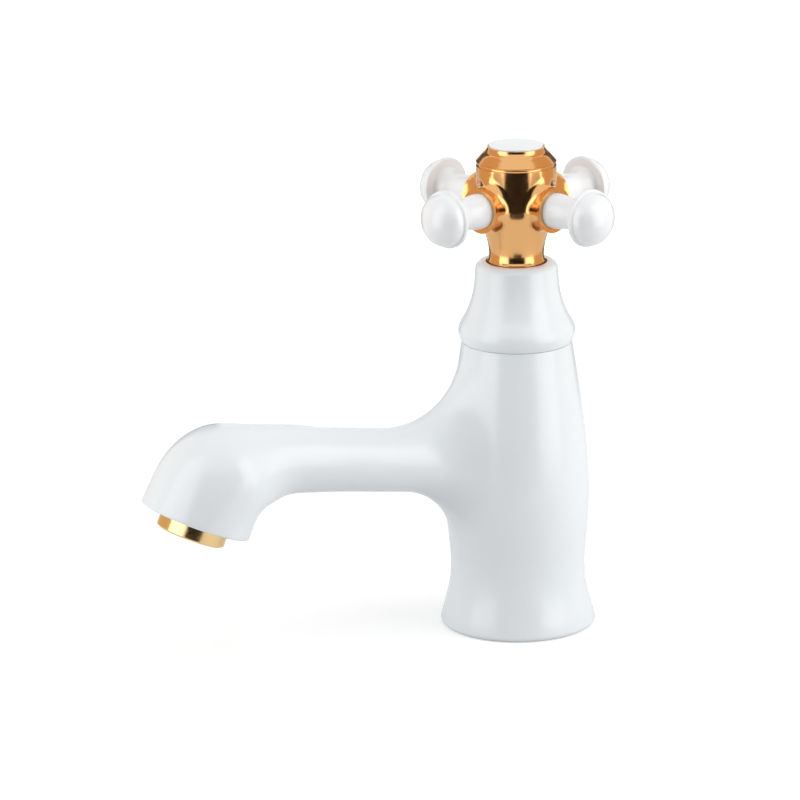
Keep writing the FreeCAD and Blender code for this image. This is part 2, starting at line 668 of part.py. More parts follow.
def is_boss_root(edge):
    # the line where a boss leaves the hub: every point near a boss wall and well inside its face
    span = edge.LastParameter - edge.FirstParameter
    for i in range(5):
        point = edge.valueAt(edge.FirstParameter + span * i / 4)
        reach = max(abs(point.x), abs(point.y))
        aside = math.hypot(min(abs(point.x), abs(point.y)), point.z - ARM_Z)
        if abs(aside - BOSS_RADIUS) > BOSS_FLARE + 0.1 or reach > BOSS_REACH - 0.3:
            return False
    return True


def handle_hub():
    hub = solid_of(hub_core().fuse([hub_boss(i) for i in range(ARM_COUNT)]))
    hub = hub.makeFillet(BOSS_BLEND, [edge for edge in hub.Edges if is_boss_root(edge)])
    cuts = [
        hexagon(INSERT_FLATS + 2 * SEAT_GAP, HUB_BOTTOM_Z - 1, INSERT_TOP_Z),
        rod(SCREW_RADIUS + 0.3, INSERT_TOP_Z - 1, SCREW_FLOOR_Z + 1),
        rod(SCREW_HEAD_RADIUS + LOOSE_GAP, SCREW_FLOOR_Z, HUB_TOP_Z + 1),
        rod(BUTTON_SPIGOT + 0.3, SPIGOT_FLOOR_Z, HUB_TOP_Z + 1),
        rod(BUTTON_RADIUS + SEAM_GAP, BUTTON_SEAT_Z, HUB_TOP_Z + 1)]
    for i in range(ARM_COUNT):
        cuts.append(along_arm(rod(SPOKE_RADIUS + SEAM_GAP, BOSS_REACH - SPOKE_TUCK, BOSS_REACH + 1), i))
        cuts.append(along_arm(rod(STUD_RADIUS + THREAD_GAP, stud_start(), BOSS_REACH), i))
    return at_rest(solid_of(hub.cut(cuts)))


def stud_start():
    return INSERT_FLATS / math.sqrt(3) + 1.4


def handle_arm(number):
    root = BOSS_REACH - SPOKE_TUCK
    waist = V(SPOKE_WAIST, 0, COLLAR_REACH - 3.0)
    flare = V(SPOKE_WAIST + 1.4, 0, COLLAR_REACH)
    collar_top = COLLAR_REACH + COLLAR_THICKNESS
    knob_foot = V(KNOB_RADIUS, 0, collar_top)
    tip = V(0, 0, collar_top + KNOB_HEIGHT)
    cap = V(KNOB_RADIUS * 0.72, 0, collar_top + KNOB_HEIGHT * 0.68)
    start = V(SPOKE_RADIUS, 0, root)
    mouth = V(SPOKE_RADIUS, 0, BOSS_REACH)
    lip_low = V(COLLAR_RADIUS, 0, COLLAR_REACH + 0.3)
    lip_high = V(COLLAR_RADIUS, 0, collar_top - 0.3)
    edges = [
        line(V(0, 0, root), start), line(start, mouth),
        curve([mouth, waist, flare], V(-0.02, 0, 1), V(1, 0, 0.8)),
        line(flare, V(COLLAR_RADIUS - 0.5, 0, COLLAR_REACH)), line(V(COLLAR_RADIUS - 0.5, 0, COLLAR_REACH), lip_low),
        line(lip_low, lip_high), line(lip_high, knob_foot), curve([knob_foot, cap, tip], UP, V(-1, 0, 0)),
        line(tip, V(0, 0, root))]
    arm = spun(edges).cut(rod(STUD_RADIUS + THREAD_GAP, root - 1, stud_start() + STUD_LENGTH + 0.5))
    return at_rest(along_arm(solid_of(arm), number))


def arm_studs():
    studs = [along_arm(rod(STUD_RADIUS, stud_start() + 0.3, stud_start() + STUD_LENGTH), i)
             for i in range(ARM_COUNT)]
    return at_rest(Part.makeCompound(studs))


def handle_insert():
    bottom = INSERT_TOP_Z - INSERT_LENGTH
    block = hexagon(INSERT_FLATS, bottom, INSERT_TOP_Z)
    hole = splined(SEAT_GAP, bottom - 1, INSERT_TOP_Z + 1)
    return at_rest(solid_of(block.cut(hole)))


def handle_screw():
    shank = rod(SCREW_RADIUS, SCREW_FLOOR_Z - SCREW_LENGTH, SCREW_FLOOR_Z)
    head = rod(SCREW_HEAD_RADIUS, SCREW_FLOOR_Z, SCREW_FLOOR_Z + SCREW_HEAD_HEIGHT)
    socket = hexagon(4.0, SCREW_FLOOR_Z + 1, SCREW_FLOOR_Z + SCREW_HEAD_HEIGHT + 1)
    return at_rest(solid_of(shank.fuse(head).cut(socket)))


def ring_height():
    return BUTTON_SEAT_Z - BUTTON_SPIGOT_DEPTH / 2


def index_button():
    groove = BUTTON_SPIGOT - BUTTON_RING
    rim = V(BUTTON_RADIUS, 0, HUB_TOP_Z + BUTTON_PROUD)
    crown = V(0, 0, HUB_TOP_Z + BUTTON_PROUD + BUTTON_CROWN)
    seat = V(BUTTON_RADIUS, 0, BUTTON_SEAT_Z)
    route = [crown, V(0, 0, SPIGOT_FLOOR_Z + 0.2), V(BUTTON_SPIGOT, 0, SPIGOT_FLOOR_Z + 0.2),
             V(BUTTON_SPIGOT, 0, BUTTON_SEAT_Z), seat, rim]
    edges = [line(a, b) for a, b in zip(route, route[1:])]
    edges.append(curve([rim, crown], V(-BUTTON_RADIUS, 0, 2 * BUTTON_CROWN), V(-1, 0, 0)))
    half = BUTTON_RING / 2 + 0.05
    ring_groove = tube(groove, BUTTON_SPIGOT + 1, ring_height() - half, ring_height() + half)
    return at_rest(solid_of(spun(edges).cut(ring_groove)))


def button_ring():
    section = BUTTON_RING / 2
    return at_rest(torus(BUTTON_SPIGOT - section + 0.02, section, ring_height()))


# One file for each piece

os.makedirs("parts", exist_ok=True)


def keep(shape, name):
    shape.exportStep("parts/" + name + ".step")


for piece in (body_casting, inlet_tail, tail_seal, base_gasket, deck_washer, clamp_washer, backnut,
              aerator_housing, aerator_insert, aerator_screen, aerator_seal,
              headwork_body, headwork_gasket, seat_seal, fixed_disc, turning_disc, spindle, spindle_orings,
              slip_washer, stop_ring, spindle_clip, bonnet_shroud,
              handle_hub, arm_studs, handle_insert, handle_screw, index_button, button_ring):
    keep(piece(), piece.__name__)

for number in range(ARM_COUNT):
    keep(handle_arm(number), "handle_arm_" + str(number + 1))
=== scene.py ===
# %% [markdown]
# A basin tap with a cross handle: white stove enamel on the body, polished gold on
# the hub and the outlet ring, glazed porcelain on the arms. The solids arrive as a
# fixed frame, and this lesson gives them their finish, light and camera.

# %% Load the frame
import json
import math

import bmesh
import bpy
from mathutils import Matrix, Vector


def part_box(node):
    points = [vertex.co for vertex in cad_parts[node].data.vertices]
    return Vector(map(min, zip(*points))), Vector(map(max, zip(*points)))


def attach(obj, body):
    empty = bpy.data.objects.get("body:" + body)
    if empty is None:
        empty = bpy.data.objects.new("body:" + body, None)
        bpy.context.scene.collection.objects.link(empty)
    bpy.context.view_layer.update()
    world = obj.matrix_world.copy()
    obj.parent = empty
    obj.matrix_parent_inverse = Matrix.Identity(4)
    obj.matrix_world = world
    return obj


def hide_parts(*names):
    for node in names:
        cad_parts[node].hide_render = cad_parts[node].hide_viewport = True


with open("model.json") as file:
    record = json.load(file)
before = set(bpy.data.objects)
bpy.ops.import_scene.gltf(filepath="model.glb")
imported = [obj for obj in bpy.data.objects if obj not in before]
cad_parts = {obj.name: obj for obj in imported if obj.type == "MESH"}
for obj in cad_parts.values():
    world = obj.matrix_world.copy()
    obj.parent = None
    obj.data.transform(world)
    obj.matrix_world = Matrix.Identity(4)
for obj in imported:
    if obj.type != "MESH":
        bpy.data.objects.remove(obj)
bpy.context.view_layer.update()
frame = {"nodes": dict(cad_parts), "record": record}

NODES = frame["nodes"]

# %% [markdown]
# A new Blender file can bring its own cube, lamp and camera. They are removed first,
# so that only the frame is left. The Standard view shows colours as they are computed.

# %% Empty the stage
for spare in ("Cube", "Light", "Camera"):
    if spare in bpy.data.objects and spare not in NODES:
        bpy.data.objects.remove(bpy.data.objects[spare])
SCENE = bpy.context.scene
SCENE.view_settings.view_transform = "Standard"

# %% [markdown]
# The solids come as loose triangles, which shade as flat facets. Enamel and plating
# show every facet, so each solid gets a small node modifier: it merges the corners,
# smooths the shading, and keeps the edges sharp where two faces meet at a real angle.
# The meshes themselves stay as they are.

# %% Smooth the shading
SHARP_ANGLE = math.radians(28)
MERGE_DISTANCE = 1e-6


def smooth_shading_group():
    group = bpy.data.node_groups.new("smooth_shading", "GeometryNodeTree")
    for way in ("INPUT", "OUTPUT"):
        group.interface.new_socket("Geometry", in_out=way, socket_type="NodeSocketGeometry")
    start = group.nodes.new("NodeGroupInput")
    merge = group.nodes.new("GeometryNodeMergeByDistance")
    merge.inputs["Distance"].default_value = MERGE_DISTANCE
    faces = group.nodes.new("GeometryNodeSetShadeSmooth")
    edges = group.nodes.new("GeometryNodeSetShadeSmooth")
    edges.domain = "EDGE"
    edges.inputs["Shade Smooth"].default_value = False
    angle = group.nodes.new("GeometryNodeInputMeshEdgeAngle")
    sharp = group.nodes.new("FunctionNodeCompare")
    sharp.operation = "GREATER_THAN"
    sharp.inputs["B"].default_value = SHARP_ANGLE
    end = group.nodes.new("NodeGroupOutput")
    for first, second in ((start, merge), (merge, faces), (faces, edges), (edges, end)):
        group.links.new(first.outputs["Geometry"], second.inputs["Geometry"])
    group.links.new(angle.outputs["Unsigned Angle"], sharp.inputs["A"])
    group.links.new(sharp.outputs["Result"], edges.inputs["Selection"])
    return group


SMOOTH = smooth_shading_group()


def smooth(piece):
    piece.modifiers.new("smooth_shading", "NODES").node_group = SMOOTH


for node in NODES.values():
    smooth(node)
print("smoothed:", len(NODES))

# %% [markdown]
# A finish is a small node tree round one shader. Finishes, deck and room all need to
# spread one range of values over another, so that helper comes first.

# %% Shader helpers
def new_finish(name, colour, roughness, metallic=0.0):
    material = bpy.data.materials.new(name)
    material.use_nodes = True
    inputs = shader_of(material).inputs
    inputs["Base Color"].default_value = (*colour, 1.0)
    inputs["Roughness"].default_value = roughness
    inputs["Metallic"].default_value = metallic
    return material


def shader_of(material):
    return material.node_tree.nodes["Principled BSDF"]


def spread(tree, value, low, high, start=0.0, end=1.0, curve="LINEAR"):
    # values from start to end become low to high
    node = tree.nodes.new("ShaderNodeMapRange")
    node.interpolation_type = curve
    node.inputs["From Min"].default_value = start
    node.inputs["From Max"].default_value = end
    node.inputs["To Min"].default_value = low
    node.inputs["To Max"].default_value = high
    tree.links.new(value, node.inputs["Value"])
    return node.outputs["Result"]


print("shader helpers: ready")

# %% [markdown]
# No real surface is the same all over. Each finish has a noise on Object coordinates,
# scaled in metres, so it stays on its piece when the handle turns. The noise changes the
# colour and the gloss a little and raises a fine relief. Its values hardly leave the
# middle of the range, so the ends of that middle are what the two limits stand for.

# %% Pattern helpers
NOISE_LOW = 0.3
NOISE_HIGH = 0.7


def noise(material, grain, detail=3.0, stretch=(1, 1, 1)):
    # grain is the size of the pattern in metres
    tree = material.node_tree
    place = tree.nodes.new("ShaderNodeTexCoord")
    mapping = tree.nodes.new("ShaderNodeMapping")
    mapping.inputs["Scale"].default_value = stretch
    pattern = tree.nodes.new("ShaderNodeTexNoise")
    pattern.inputs["Scale"].default_value = 1 / grain
    pattern.inputs["Detail"].default_value = detail
    tree.links.new(place.outputs["Object"], mapping.inputs["Vector"])
    tree.links.new(mapping.outputs["Vector"], pattern.inputs["Vector"])
    return pattern.outputs["Fac"]


def tint(material, source, first, second):
    # spread a pattern between two colours
    tree = material.node_tree
    ramp = tree.nodes.new("ShaderNodeValToRGB")
    ends = zip(ramp.color_ramp.elements, (NOISE_LOW, NOISE_HIGH), (first, second))
    for element, position, colour in ends:
        element.position = position
        element.color = (*colour, 1.0)
    tree.links.new(source, ramp.inputs["Fac"])
    tree.links.new(ramp.outputs["Color"], shader_of(material).inputs["Base Color"])


def vary(material, source, low, high):
    # spread a pattern between two roughnesses
    tree = material.node_tree
    gloss = spread(tree, source, low, high, NOISE_LOW, NOISE_HIGH)
    tree.links.new(gloss, shader_of(material).inputs["Roughness"])


def relief(material, source, height):
    # height is in metres
    tree = material.node_tree
    bump = tree.nodes.new("ShaderNodeBump")
    bump.inputs["Strength"].default_value = 1.0
    bump.inputs["Distance"].default_value = height
    tree.links.new(source, bump.inputs["Height"])
    tree.links.new(bump.outputs["Normal"], shader_of(material).inputs["Normal"])


print("pattern helpers: ready")

# %% [markdown]
# Stove enamel flows a little before it sets, which leaves a very soft ripple and a
# gloss that is not quite a mirror.

# %% White enamel
def white_enamel():
    material = new_finish("white_enamel", (0.82, 0.855, 0.878), 0.2)
    tint(material, noise(material, 0.05), (0.81, 0.846, 0.87), (0.83, 0.862, 0.884))
    vary(material, noise(material, 0.02), 0.17, 0.23)
    relief(material, noise(material, 0.006, 1.0), 0.000004)
    return material


FINISHES = {"white_enamel": white_enamel()}
print("finishes:", *FINISHES)

# %% [markdown]
# Plated and polished metal is one colour with a nearly clear reflection. Fine wipe
# marks change its gloss a little from place to place. The hub is a reddish gold and the
# outlet ring a paler one, so the colour is handed in.

# %% Gold
WORN_SHADE = 0.96


def gold(name, colour):
    material = new_finish(name, colour, 0.12, 1.0)
    darker = tuple(WORN_SHADE * value for value in colour)
    tint(material, noise(material, 0.03), darker, colour)
    vary(material, noise(material, 0.003, 4.0, (1, 1, 4)), 0.12, 0.19)
    relief(material, noise(material, 0.004, 1.0), 0.000002)
    return material


FINISHES["gold"] = gold("gold", (0.86, 0.47, 0.19))
PALE_GOLD = gold("pale_gold", (0.90, 0.64, 0.31))
print("golds:", FINISHES["gold"].name, PALE_GOLD.name)

# %% [markdown]
# Porcelain is a white body under a clear glaze, so a thin coat carries the gloss.

# %% Porcelain
def porcelain():
    material = new_finish("porcelain", (0.86, 0.872, 0.885), 0.22)
    shader_of(material).inputs["Coat Weight"].default_value = 0.4
    shader_of(material).inputs["Coat Roughness"].default_value = 0.06
    tint(material, noise(material, 0.02), (0.85, 0.863, 0.877), (0.87, 0.881, 0.892))
    vary(material, noise(material, 0.008), 0.19, 0.25)
    relief(material, noise(material, 0.005, 1.0), 0.000003)
    return material


FINISHES["porcelain"] = porcelain()
print("finishes:", *FINISHES)

# %% [markdown]
# The hidden metals are plain workshop ones. Turned brass keeps the marks of the lathe,
# which run round the axis, so its noise is squeezed along the height. Bright steel has
# drawn lines, so its noise is squeezed across them.

# %% Workshop metals
def plain_brass():
    material = new_finish("plain_brass", (0.58, 0.40, 0.14), 0.3, 1.0)
    marks = noise(material, 0.0008, 2.0, (0.2, 0.2, 6))
    tint(material, noise(material, 0.012), (0.52, 0.35, 0.12), (0.62, 0.43, 0.16))
    vary(material, marks, 0.24, 0.42)
    relief(material, marks, 0.00001)
    return material


def steel():
    material = new_finish("steel", (0.56, 0.57, 0.58), 0.3, 1.0)
    lines = noise(material, 0.0006, 2.0, (1, 8, 1))
    tint(material, noise(material, 0.004), (0.52, 0.53, 0.54), (0.60, 0.61, 0.62))
    vary(material, lines, 0.25, 0.4)
    relief(material, lines, 0.000006)
    return material


FINISHES["plain_brass"] = plain_brass()
FINISHES["steel"] = steel()
print("finishes:", len(FINISHES))

# %% [markdown]
# Seals are black rubber or red fibre, which are dull and grainy. The valve's discs are
# lapped ceramic, nearly as smooth as glass.

# %% Seals and discs
def rubber():
    material = new_finish("rubber", (0.02, 0.02, 0.021), 0.7)
    grain = noise(material, 0.0006)
    tint(material, noise(material, 0.006), (0.016, 0.016, 0.017), (0.026, 0.026, 0.027))
    vary(material, grain, 0.6, 0.8)
    relief(material, grain, 0.00003)
    return material


def fibre():
    material = new_finish("fibre", (0.24, 0.06, 0.03), 0.8)
    grain = noise(material, 0.0009, 6.0)
    tint(material, grain, (0.17, 0.04, 0.02), (0.30, 0.09, 0.05))
    vary(material, grain, 0.7, 0.9)
    relief(material, grain, 0.00003)
    return material


def disc_ceramic():
    material = new_finish("disc_ceramic", (0.72, 0.70, 0.65), 0.25)
    tint(material, noise(material, 0.0005), (0.70, 0.68, 0.63), (0.75, 0.73, 0.68))
    vary(material, noise(material, 0.002), 0.2, 0.3)
    relief(material, noise(material, 0.0004), 0.000002)
    return material


FINISHES["rubber"] = rubber()
FINISHES["fibre"] = fibre()
FINISHES["disc_ceramic"] = disc_ceramic()
print("finishes:", len(FINISHES))

# %% [markdown]
# Moulded plastic takes the fine grain of its mould. Two colours of it are needed.

# %% Moulded plastic
MOULDED_SHADE = 0.92


def moulded_plastic(name, colour):
    material = new_finish(name, colour, 0.45)
    grain = noise(material, 0.0005)
    darker = tuple(MOULDED_SHADE * value for value in colour)
    tint(material, noise(material, 0.005), darker, colour)
    vary(material, grain, 0.4, 0.52)
    relief(material, grain, 0.00001)
    return material


FINISHES["white_plastic"] = moulded_plastic("white_plastic", (0.70, 0.70, 0.67))
FINISHES["grey_plastic"] = moulded_plastic("grey_plastic", (0.26, 0.27, 0.28))
print("finishes:", len(FINISHES))

# %% [markdown]
# The record already says which finish each solid has, so one loop hands them out. The
# outlet ring then gets the paler gold.

# %% Hand out the finishes
for part in frame["record"]["subparts"]:
    node = NODES[part["node"]]
    node.data.materials.clear()
    node.data.materials.append(FINISHES[part["material_slot"]])
NODES["aerator_housing"].data.materials[0] = PALE_GOLD

# %% [markdown]
# In two places the casting has a softer skin than its solid, so a merged copy stands
# for it. The first is the waist, where the foot's flare meets the column. The solid has
# a corner there, and a parabola lifts the skin to take up the change of slope exactly.

# %% Waist
WAIST_HEIGHT = 0.0187
WAIST_REACH = 0.008
WAIST_SLOPES = 0.368
SKIN_RADIUS = 0.0175


def soften_waist(shape):
    for corner in shape.verts:
        radius = corner.co.xy.length
        near = 1 - abs(corner.co.z - WAIST_HEIGHT) / WAIST_REACH
        if near > 0 and radius > SKIN_RADIUS:
            lift = WAIST_SLOPES * WAIST_REACH / 4 * near ** 2
            corner.co.xy = corner.co.xy * (1 + lift / radius)


print("lift at the waist:", round(WAIST_SLOPES * WAIST_REACH / 4, 5), "m")

# %% [markdown]
# The second place is the inside of the elbow. The skin bends two ways there, so no
# simple curve describes it. Many small passes of smoothing round it off, and each pass
# reaches a little less far, so the patch has no edge. The wall of the water passage is
# close by, but it faces the other way and is left out.

# %% Bend
BEND_PLACE = Vector((-0.0868, 0.0465))
BEND_OUTWARD = Vector((0.7, -0.7))
BEND_FACING = 0.15
BEND_REACH = 0.0074
BEND_SHRINK = 0.65
BEND_PASSES = 100


def ease_bend(shape):
    shape.normal_update()
    skin = [corner for corner in shape.verts
            if corner.normal.yz.dot(BEND_OUTWARD) > BEND_FACING]
    for turn in range(BEND_PASSES):
        reach = BEND_REACH * (1 - BEND_SHRINK * turn / BEND_PASSES)
        near = [corner for corner in skin if (corner.co.yz - BEND_PLACE).length < reach]
        bmesh.ops.smooth_vert(shape, verts=near, factor=0.5,
                              use_axis_x=True, use_axis_y=True, use_axis_z=True)


print("reach at the bend:", BEND_REACH, "m")

# %% [markdown]
# Both changes are made on the copy, which becomes a piece at the origin. It rides the
# body of the solid that it stands for.

# %% Enamelled body
def piece_from(shape, name, finish):
    mesh = bpy.data.meshes.new(name)
    shape.to_mesh(mesh)
    shape.free()
    mesh.materials.append(FINISHES[finish])
    piece = bpy.data.objects.new(name, mesh)
    SCENE.collection.objects.link(piece)
    return piece


shape = bmesh.new()
shape.from_mesh(NODES["body_casting"].data)
bmesh.ops.remove_doubles(shape, verts=shape.verts, dist=MERGE_DISTANCE)
soften_waist(shape)
ease_bend(shape)
body = piece_from(shape, "enamelled_body", "white_enamel")
smooth(body)
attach(body, "tap")
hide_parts("body_casting")
print("casting corners:", len(body.data.vertices))

# %% [markdown]
# The shroud is turned again here with an even curve, because gloss shows the slightest
# wave. Each knot is a height, a radius and a slope, and a cubic joins one to the next.
# The rounded lip and the plain inside follow the solid that this piece stands for.
# Sizes are in millimetres.

# %% Shroud outline
SHROUD_KNOTS = ((90.65, 17.0, 0.5), (94.1, 18.0, -0.02), (100.1, 15.3, -0.40),
                (106.3, 13.4, -0.19), (113.5, 12.7, -0.06))
SHROUD_LIP = 2.2
SHROUD_INSIDE = [(9.5, 115.7), (9.5, 97.9), (8.06, 97.9), (8.06, 93.9),
                 (14.4, 93.9), (14.4, 90.65)]
KNOT_ROWS = 12
LIP_ROWS = 6


def shroud_outline():
    rows = []
    for (low, start, leave), (high, end, arrive) in zip(SHROUD_KNOTS, SHROUD_KNOTS[1:]):
        span = high - low
        for row in range(KNOT_ROWS):
            t = row / KNOT_ROWS
            radius = (1 + 2 * t) * (1 - t) ** 2 * start + t * (1 - t) ** 2 * span * leave
            radius += t ** 2 * (3 - 2 * t) * end + t ** 2 * (t - 1) * span * arrive
            rows.append((radius, low + span * t))
    top, reach, _ = SHROUD_KNOTS[-1]
    for row in range(LIP_ROWS + 1):
        angle = math.pi / 2 * row / LIP_ROWS
        inward = SHROUD_LIP * (1 - math.cos(angle))
        rows.append((reach - inward, top + SHROUD_LIP * math.sin(angle)))
    return rows + SHROUD_INSIDE


print("outline rows:", len(shroud_outline()))

# %% [markdown]
# A turned piece is a closed outline spun once round the column's axis. The last step of
# the spin is merged with the first, and the normals are made to point outwards.

# %% Turned shroud
MILLIMETRE = 0.001
SHROUD_STEPS = 128


def turn_outline(shape, outline, steps):
    ring = [shape.verts.new((radius, 0, height)) for radius, height in outline]
    edges = [shape.edges.new((ring[i - 1], ring[i])) for i in range(len(ring))]
    bmesh.ops.spin(shape, geom=[*ring, *edges], cent=(0, 0, 0), axis=(0, 0, 1),
                   dvec=(0, 0, 0), angle=2 * math.pi, steps=steps,
                   use_merge=True, use_duplicate=False)


shape = bmesh.new()
outline = [(radius * MILLIMETRE, height * MILLIMETRE) for radius, height in shroud_outline()]
turn_outline(shape, outline, SHROUD_STEPS)
bmesh.ops.recalc_face_normals(shape, faces=shape.faces)
shroud = piece_from(shape, "turned_shroud", "white_enamel")
smooth(shroud)
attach(shroud, "tap")
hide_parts("bonnet_shroud")
print("shroud faces:", len(shroud.data.polygons))

# %% [markdown]
# The tail below the deck carries a half-inch pipe thread. Each run of it is one tooth,
# swept up a helix by a spin that rises a little at every step. The tooth's corners are
# shares of the depth and of the pitch, and its root sinks a little into the core, so no
# gap is left.

# %% Thread
THREAD_PITCH = 0.001814
THREAD_STEPS = 40
TOOTH = ((0.0, 0.05), (1.0, 0.40), (1.0, 0.55), (0.0, 0.90))
TOOTH_SINK = 0.0002
TAIL_LOW, TAIL_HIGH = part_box("inlet_tail")
CREST_RADIUS = TAIL_HIGH.x
CORE_RADIUS = 0.0095


def thread_run(shape, start, turns):
    root = CORE_RADIUS - TOOTH_SINK
    depth = CREST_RADIUS - root
    corners = [shape.verts.new((root + depth * out, 0, start + THREAD_PITCH * up))
               for out, up in TOOTH]
    tooth = shape.faces.new(corners)
    rise = Vector((0, 0, THREAD_PITCH / THREAD_STEPS))
    bmesh.ops.spin(shape, geom=[*corners, *tooth.edges], cent=(0, 0, 0), axis=(0, 0, 1),
                   dvec=rise, angle=2 * math.pi * turns, steps=THREAD_STEPS * turns,
                   use_merge=False, use_duplicate=False)
    open_edges = [edge for edge in shape.edges if edge.is_boundary]
    bmesh.ops.holes_fill(shape, edges=open_edges, sides=len(TOOTH))


print("thread depth:", round(CREST_RADIUS - CORE_RADIUS, 5), "m")

# %% [markdown]
# The core is turned, and two runs of thread go round it. The relief between the runs
# stays smooth, as on the solid that this piece stands for.

# %% Threaded tail
BORE_RADIUS = 0.007
CORE_STEPS = 64
THREAD_RUNS = ((0.0006, 6), (0.0152, 23))

low, high = TAIL_LOW.z, TAIL_HIGH.z
shape = bmesh.new()
core = [(BORE_RADIUS, low), (CORE_RADIUS, low), (CORE_RADIUS, high), (BORE_RADIUS, high)]
turn_outline(shape, core, CORE_STEPS)
for height, turns in THREAD_RUNS:
    thread_run(shape, low + height, turns)
bmesh.ops.recalc_face_normals(shape, faces=shape.faces)
tail = piece_from(shape, "threaded_tail", "plain_brass")
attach(tail, "tap")
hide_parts("inlet_tail")
print("thread faces:", len(tail.data.polygons))

# %% [markdown]
# The camera stands to the side of the spout and looks slightly down, from far away,
# so the outlines hardly converge. The column's axis is not in the middle of the
# picture: the aim moves sideways by that distance, and no lens shift is needed.

# %% Aim
PHOTO_SIDE = 800
AXIS_PIXEL = (517.1, 389.2)
AXIS_HEIGHT = 0.075
PIXELS_PER_METRE = 3240
VIEW_AZIMUTH = math.radians(67)
VIEW_ELEVATION = math.radians(16)


def direction(azimuth, elevation):
    # unit vector from the object towards a stand at these angles
    flat = math.cos(elevation)
    return Vector((math.sin(azimuth) * flat, -math.cos(azimuth) * flat, math.sin(elevation)))


TOWARDS = direction(VIEW_AZIMUTH, VIEW_ELEVATION)
RIGHT = Vector((math.cos(VIEW_AZIMUTH), math.sin(VIEW_AZIMUTH), 0))
OVER = TOWARDS.cross(RIGHT)
AIM = Vector((0, 0, AXIS_HEIGHT))
AIM += RIGHT * (PHOTO_SIDE / 2 - AXIS_PIXEL[0]) / PIXELS_PER_METRE
AIM -= OVER * (PHOTO_SIDE / 2 - AXIS_PIXEL[1]) / PIXELS_PER_METRE
print("aim:", tuple(AIM))

# %% [markdown]
# The lens follows from the distance and from how large the tap is in the picture. The
# photo leans by half a degree, and so does the camera.

# %% Camera
VIEW_ROLL = math.radians(-0.55)
VIEW_DISTANCE = 1.8
SENSOR = 36.0

camera_data = bpy.data.cameras.new("camera")
camera_data.sensor_width = SENSOR
camera_data.lens = SENSOR * VIEW_DISTANCE * PIXELS_PER_METRE / PHOTO_SIDE
camera = bpy.data.objects.new("camera", camera_data)
stand = Matrix.Translation(AIM + TOWARDS * VIEW_DISTANCE)
facing = Matrix((RIGHT, OVER, TOWARDS)).transposed().to_4x4()
camera.matrix_world = stand @ facing @ Matrix.Rotation(VIEW_ROLL, 4, "Z")
SCENE.collection.objects.link(camera)
SCENE.camera = camera
print("lens:", round(camera_data.lens, 1), "mm")

# %% [markdown]
# The tap stands on a pale deck. Near the tap the camera sees part of the deck's white as
# plain brightness and part as light, so the soft shadow stays. Farther out it is all
# plain white, and the deck has no edge against the white surroundings. For light and
# reflections the disc fades out, so it hides nothing but the tail below it.

# %% Deck finish
FADE_START = 0.27
FADE_END = 0.7
DECK_WHITE = 0.42
DECK_REFLECTED = 0.17


def maths(tree, operation, *values):
    # a number is set on its socket, and an output is linked to it
    node = tree.nodes.new("ShaderNodeMath")
    node.operation = operation
    for socket, value in zip(node.inputs, values):
        if isinstance(value, float):
            socket.default_value = value
        else:
            tree.links.new(value, socket)
    return node.outputs["Value"]


def deck_finish():
    material = new_finish("deck", (0.7, 0.7, 0.7), 0.6)
    inputs = shader_of(material).inputs
    inputs["Specular IOR Level"].default_value = 0.1
    inputs["Emission Color"].default_value = (1, 1, 1, 1)
    tree = material.node_tree
    place = tree.nodes.new("ShaderNodeTexCoord")
    length = tree.nodes.new("ShaderNodeVectorMath")
    length.operation = "LENGTH"
    tree.links.new(place.outputs["Object"], length.inputs[0])
    near = spread(tree, length.outputs["Value"], 1.0, 0.0, FADE_START, FADE_END, "SMOOTHSTEP")
    path = tree.nodes.new("ShaderNodeLightPath").outputs
    plain = spread(tree, near, 1.0, DECK_WHITE)
    white = maths(tree, "MULTIPLY", path["Is Camera Ray"], plain)
    white = maths(tree, "MULTIPLY_ADD", path["Is Glossy Ray"], DECK_REFLECTED, white)
    cover = maths(tree, "MAXIMUM", near, path["Is Camera Ray"])
    tree.links.new(white, inputs["Emission Strength"])
    tree.links.new(cover, inputs["Alpha"])
    return material


DECK_FINISH = deck_finish()
print("deck fades from", FADE_START, "to", FADE_END, "m")

# %% [markdown]
# The deck itself is one flat disc at the height of the foot.

# %% Deck
DECK_RADIUS = 1.6
DECK_SIDES = 96

deck_mesh = bpy.data.meshes.new("deck")
shape = bmesh.new()
bmesh.ops.create_circle(shape, cap_ends=True, radius=DECK_RADIUS, segments=DECK_SIDES)
shape.to_mesh(deck_mesh)
shape.free()
deck_mesh.materials.append(DECK_FINISH)
deck = bpy.data.objects.new("deck", deck_mesh)
SCENE.collection.objects.link(deck)
print("deck radius:", DECK_RADIUS, "m")

# %% [markdown]
# A white room gives the fill. The camera and the reflections see plain white, and the
# diffuse light from the room is weaker, so that the lamps still model the forms.

# %% Room
ROOM_LIGHT = 0.38

world = bpy.data.worlds.new("room")
world.use_nodes = True
SCENE.world = world
tree = world.node_tree
backdrop = tree.nodes["Background"]
backdrop.inputs["Color"].default_value = (1, 1, 1, 1)
path = tree.nodes.new("ShaderNodeLightPath").outputs
seen = maths(tree, "MAXIMUM", path["Is Camera Ray"], path["Is Glossy Ray"])
seen = maths(tree, "MAXIMUM", seen, path["Is Transmission Ray"])
tree.links.new(spread(tree, seen, ROOM_LIGHT, 1.0), backdrop.inputs["Strength"])
print("room light:", ROOM_LIGHT)

# %% [markdown]
# Two large softboxes stand left and right of the camera, the right one stronger, and a
# third hangs above. Large and close is what gives enamel its slow, soft shading.
# Reflections leave the lamps out and show the white room, so the metal doesn't clip.

# %% Softboxes
LAMP_DISTANCE = 1.0


